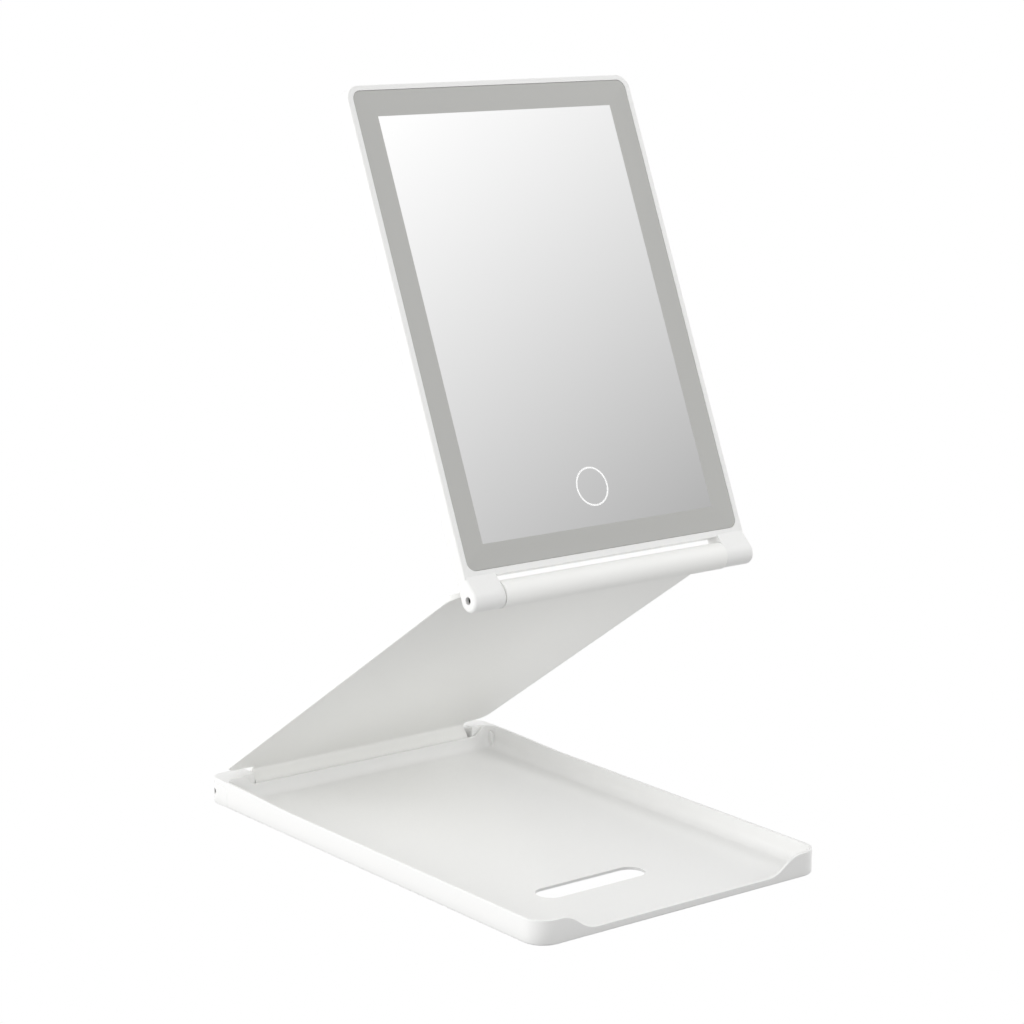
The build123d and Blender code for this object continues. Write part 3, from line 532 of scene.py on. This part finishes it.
class VANITY_OT_screws(Operator):
    """Countersunk screws with a cross recess, behind the panel and under the base"""

    bl_idname = "vanity.screws"
    bl_label = "Screws"

    def execute(self, context):
        steel = metal("screw_steel", (0.55, 0.55, 0.54), 0.3, brushed=1500.0)
        self.group(context, "back_cover_screws", "mirror", "back_screws", -PANEL_OUT, steel)
        self.group(context, "block_screws", "base", "hinge_block_screws", Vector((0, 0, -1)), steel)
        return {"FINISHED"}

    def group(self, context, name, body, node, out, steel):
        """One screw for each solid of the node, its head towards out, each turned its own way."""
        sizes = context.scene.vanity_sizes
        places = solids(node)
        first, axis_point = places[0], middle(places[0])
        reaches = [vertex.dot(out) for vertex in first]
        spreads = [(vertex - axis_point - out * (vertex - axis_point).dot(out)).length for vertex in first]
        upright = out.to_track_quat("Z", "Y").to_matrix().to_4x4()
        made = []
        for index, place in enumerate(places):
            screw = self.screw(sizes, max(spreads), min(spreads), max(reaches) - min(reaches))
            centre = middle(place)
            head = centre + out * (max(vertex.dot(out) for vertex in place) - centre.dot(out))
            turned = Matrix.Rotation(index * SCREW_TURN, 4, "Z")
            screw.matrix_world = Matrix.Translation(head) @ upright @ turned
            made.append(screw)
        choose(made[0])
        for screw in made[1:]:
            screw.select_set(True)
        bpy.ops.object.join()
        finish_piece(made[0], name, body, steel, replaced=[node])

    def screw(self, sizes, head_radius, shank_radius, reach):
        """Screw whose head lies level with Z = 0, its shank below."""
        head_depth = head_radius - shank_radius
        deselect_all()
        bpy.ops.mesh.primitive_cone_add(
            vertices=SCREW_SIDES, radius1=shank_radius, radius2=head_radius, depth=head_depth,
            location=(0, 0, -head_depth / 2),
        )
        screw = bpy.context.object
        bpy.ops.object.transform_apply(location=True, rotation=True, scale=True)
        bpy.ops.object.mode_set(mode="EDIT")
        pick(screw, faces=lambda face: face.normal.z < -FACING)
        bpy.ops.mesh.extrude_region_move(TRANSFORM_OT_translate={"value": (0, 0, head_depth - reach)})
        pick(screw, faces=lambda face: face.normal.z > FACING)
        bpy.ops.mesh.region_to_loop()
        bpy.ops.mesh.bevel(offset=sizes.head_edge, segments=EDGE_STEPS)
        bpy.ops.object.mode_set(mode="OBJECT")
        span = 2 * head_radius * sizes.recess_span
        for wide, deep in ((span, sizes.recess_arm), (sizes.recess_arm, span)):
            deselect_all()
            bpy.ops.mesh.primitive_cube_add(size=1, location=(0, 0, 0))
            cutter = bpy.context.object
            cutter.scale = (wide, deep, 2 * sizes.recess_depth)
            choose(screw)
            cut = screw.modifiers.new("recess", "BOOLEAN")
            cut.object = cutter
            cut.operation = "DIFFERENCE"
            cut.solver = "EXACT"
            bpy.ops.object.modifier_apply(modifier=cut.name)
            bpy.data.objects.remove(cutter)
        bpy.ops.object.shade_smooth_by_angle(angle=SMOOTH_ANGLE)
        return screw


class VANITY_OT_finishes(Operator):
    """Finishes of the parts that keep their CAD shape"""

    bl_idname = "vanity.finishes"
    bl_label = "Finishes"

    def execute(self, context):
        colours = context.scene.vanity_colours
        tray = moulded_plastic("tray_moulding", colours.tray_white, colours.tray_roughness)
        arm = moulded_plastic("arm_moulding", colours.arm_white, colours.arm_roughness, grain=0.0005)
        panel = moulded_plastic("panel_moulding", colours.panel_white, colours.tray_roughness)
        # Pins: steel made near black, partly the steel's own colour and partly painted shade of the recesses
        # that they sit in.
        pin = metal("pin_steel_painted_shade", (0.07, 0.07, 0.065), 0.35)
        spring = metal("sleeve_steel", (0.5, 0.5, 0.48), 0.3)
        finishes = {
            tray: ["base_tray", "hinge_block_left", "hinge_block_right"],
            arm: ["arm_frame", "arm_cover"],
            panel: ["mirror_frame", "mirror_back"],
            pin: ["lower_pin_left", "lower_pin_right", "upper_pin_left", "upper_pin_right"],
            spring: ["lower_sleeve_left", "lower_sleeve_right", "upper_sleeve_left", "upper_sleeve_right"],
            metal("core_aluminium", (0.78, 0.79, 0.8), 0.4): ["arm_core"],
            metal("socket_steel", (0.6, 0.6, 0.6), 0.28): ["usb_socket"],
            speckled("foot_rubber", (0.3, 0.3, 0.3), (0.36, 0.36, 0.36), 1500.0, 0.8): ["base_feet"],
            speckled("black_foam", (0.02, 0.02, 0.02), (0.05, 0.05, 0.05), 2500.0, 0.9): [
                "glass_tape", "battery_tape",
            ],
            speckled("guide_acrylic", (0.86, 0.88, 0.9), (0.92, 0.93, 0.94), 900.0, 0.2, coat=0.5): [
                "light_guide", "light_pipe",
            ],
            speckled("reflector_film", (0.9, 0.9, 0.9), (0.95, 0.95, 0.95), 1800.0, 0.6): [
                "reflector_sheet",
            ],
            lamp_strip("lamp_strip"): ["led_strip_left", "led_strip_right"],
            speckled("cell_foil", (0.5, 0.51, 0.52), (0.6, 0.61, 0.62), 700.0, 0.35): ["battery"],
            speckled("board_green", (0.01, 0.12, 0.05), (0.02, 0.2, 0.09), 1200.0, 0.4, coat=0.3): [
                "control_board",
            ],
            speckled("sensor_film", (0.5, 0.3, 0.08), (0.6, 0.38, 0.12), 900.0, 0.3): ["touch_sensor"],
            speckled("lead_red", (0.45, 0.02, 0.02), (0.55, 0.03, 0.03), 1500.0, 0.45): [
                "battery_leads", "light_leads_left", "light_leads_right",
            ],
        }
        for material, names in finishes.items():
            for name in names:
                for slot in NODES[name].material_slots:
                    slot.material = material
        return {"FINISHED"}


class VANITY_OT_stage(Operator):
    """Camera, pale floor and soft studio light"""

    bl_idname = "vanity.stage"
    bl_label = "Stage"

    def execute(self, context):
        studio = context.scene.vanity_studio
        self.camera(context, studio)
        self.floor(studio)
        self.sky(context, studio)
        self.softbox("left_softbox", studio.left_light, LEFT_LAMP)
        self.softbox("right_softbox", studio.right_light, RIGHT_LAMP)
        self.softbox("rear_softbox", studio.rear_light, REAR_LAMP)
        context.scene.view_settings.view_transform = "Standard"
        return {"FINISHED"}

    def camera(self, context, studio):
        """Camera at its turn and height about the point that it looks at, then rolled."""
        turn, rise = studio.azimuth, studio.elevation
        back = Vector((sin(turn) * cos(rise), -cos(turn) * cos(rise), sin(rise)))
        level = Vector((cos(turn), sin(turn), 0))
        upright = back.cross(level)
        right = level * cos(studio.roll) + upright * sin(studio.roll)
        up = upright * cos(studio.roll) - level * sin(studio.roll)
        deselect_all()
        bpy.ops.object.camera_add()
        camera = context.object
        camera.name = "studio_camera"
        camera.data.sensor_width = FILM_WIDTH
        camera.data.lens = studio.lens
        camera.data.clip_start = CLIP_NEAR
        camera.data.clip_end = CLIP_FAR
        place = Matrix((right, up, back)).transposed().to_4x4()
        place.translation = Vector(studio.look_at) + back * studio.distance
        camera.matrix_world = place
        context.scene.camera = camera

    def floor(self, studio):
        """Floor that shows only to the camera and in reflections, and hidden boards under it.

        The bounce boards light the object from below, and the dark one shades its lower edge.
        """
        reach = FLOOR_SIZE / 2
        (left, front, _), (right, rear, _) = CAD_BOX
        boards = (
            ("studio_floor", (-reach, reach), (-reach, reach), 0.0, studio.floor_glow),
            ("bounce_left", (-reach, BOARD_SIDE), (-reach, reach), BOARD_DROP, studio.bounce_left),
            ("bounce_front", (BOARD_SIDE, reach), (-reach, BOARD_FRONT), BOARD_DROP, studio.bounce_front),
            ("bounce_rear", (BOARD_SIDE, reach), (BOARD_FRONT, reach), BOARD_DROP, studio.bounce_rear),
            (
                "contact_shade", (left - SHADE_REACH, right + SHADE_REACH),
                (front - SHADE_REACH, rear + SHADE_REACH), SHADE_DROP, 0.0,
            ),
        )
        for name, across, along, drop, glow in boards:
            deselect_all()
            bpy.ops.mesh.primitive_plane_add(size=1, location=(sum(across) / 2, sum(along) / 2, -drop))
            board = bpy.context.object
            board.name = name
            board.scale = (across[1] - across[0], along[1] - along[0], 1)
            material, _, _ = new_material(
                name, Base_Color=BLACK, Specular_IOR_Level=0.0, Emission_Color=WHITE, Emission_Strength=glow
            )
            board.data.materials.append(material)
            seen = drop == 0
            board.visible_camera = board.visible_glossy = seen
            board.visible_diffuse = board.visible_shadow = not seen

    def sky(self, context, studio):
        """Sky with a bright cove near the floor, a dim band over it, and light above that fades overhead."""
        world = bpy.data.worlds.new("studio_sky")
        context.scene.world = world
        world.use_nodes = True
        tree = world.node_tree
        tree.nodes.clear()
        place = add_node(tree, "ShaderNodeTexCoord").outputs["Generated"]
        split = add_node(tree, "ShaderNodeSeparateXYZ", [(place, "Vector")])
        across, height = split.outputs["X"], split.outputs["Z"]
        lean = add_node(tree, "ShaderNodeMath", [(across, 0), (height, 2)], operation="MULTIPLY_ADD")
        lean.inputs[1].default_value = -studio.sky_lean
        rise = self.band(tree, lean.outputs["Value"], SKY_RISE, studio.sky_low, studio.sky_high)
        cove = self.band(tree, height, COVE_FALL, studio.cove_glow, 0.0)
        ceiling = self.band(tree, height, CEILING_FALL, 0.0, -studio.sky_fade)
        lower = add_node(tree, "ShaderNodeMath", [(rise, 0), (cove, 1)], operation="ADD")
        whole = add_node(
            tree, "ShaderNodeMath", [(lower.outputs["Value"], 0), (ceiling, 1)], operation="ADD"
        )
        backdrop = add_node(
            tree, "ShaderNodeBackground", [(whole.outputs["Value"], "Strength")], Color=WHITE
        )
        add_node(tree, "ShaderNodeOutputWorld", [(backdrop.outputs["Background"], "Surface")])

    def band(self, tree, height, places, below, above):
        """Brightness that changes from one value to another between two heights."""
        ramp = add_node(
            tree, "ShaderNodeMapRange", [(height, "Value")],
            From_Min=places[0], From_Max=places[1], To_Min=below, To_Max=above,
        )
        return ramp.outputs["Result"]

    def softbox(self, name, power, place):
        """Square lamp that lights the object and shows nowhere."""
        deselect_all()
        bpy.ops.object.light_add(type="AREA", location=place)
        lamp = bpy.context.object
        lamp.name = name
        lamp.data.shape = "SQUARE"
        lamp.data.size = LAMP_SIZE
        lamp.data.energy = power
        lamp.rotation_euler = (Vector(LAMP_AIM) - Vector(place)).to_track_quat("-Z", "Y").to_euler()
        lamp.visible_camera = False
        lamp.visible_glossy = False


class VANITY_PT_mirror(Panel):
    """Lists the pieces of the mirror and their settings"""

    bl_idname = "VANITY_PT_mirror"
    bl_label = "Vanity Mirror"
    bl_space_type = "VIEW_3D"
    bl_region_type = "UI"
    bl_category = "Vanity Mirror"

    def draw(self, context):
        for maker in MAKERS:
            self.layout.operator(maker.bl_idname)
        for group in SETTINGS:
            settings = getattr(context.scene, group)
            for name in settings.bl_rna.properties.keys():
                if name not in {"rna_type", "name"}:
                    self.layout.prop(settings, name)


MAKERS = (VANITY_OT_glass, VANITY_OT_touch_ring, VANITY_OT_screws, VANITY_OT_finishes, VANITY_OT_stage)
CLASSES = (*SETTINGS.values(), *MAKERS, VANITY_PT_mirror)


def register():
    """Register the classes, and give the scene its settings."""
    for made in CLASSES:
        bpy.utils.register_class(made)
    for name, group in SETTINGS.items():
        setattr(bpy.types.Scene, name, PointerProperty(type=group))


def unregister():
    """Take the settings from the scene, and the classes back."""
    for name in SETTINGS:
        delattr(bpy.types.Scene, name)
    for made in reversed(CLASSES):
        bpy.utils.unregister_class(made)


def main():
    """Build the studio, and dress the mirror."""
    register()
    bpy.ops.vanity.stage()
    bpy.ops.vanity.glass()
    bpy.ops.vanity.touch_ring()
    bpy.ops.vanity.screws()
    bpy.ops.vanity.finishes()


if __name__ == "__main__":
    main()
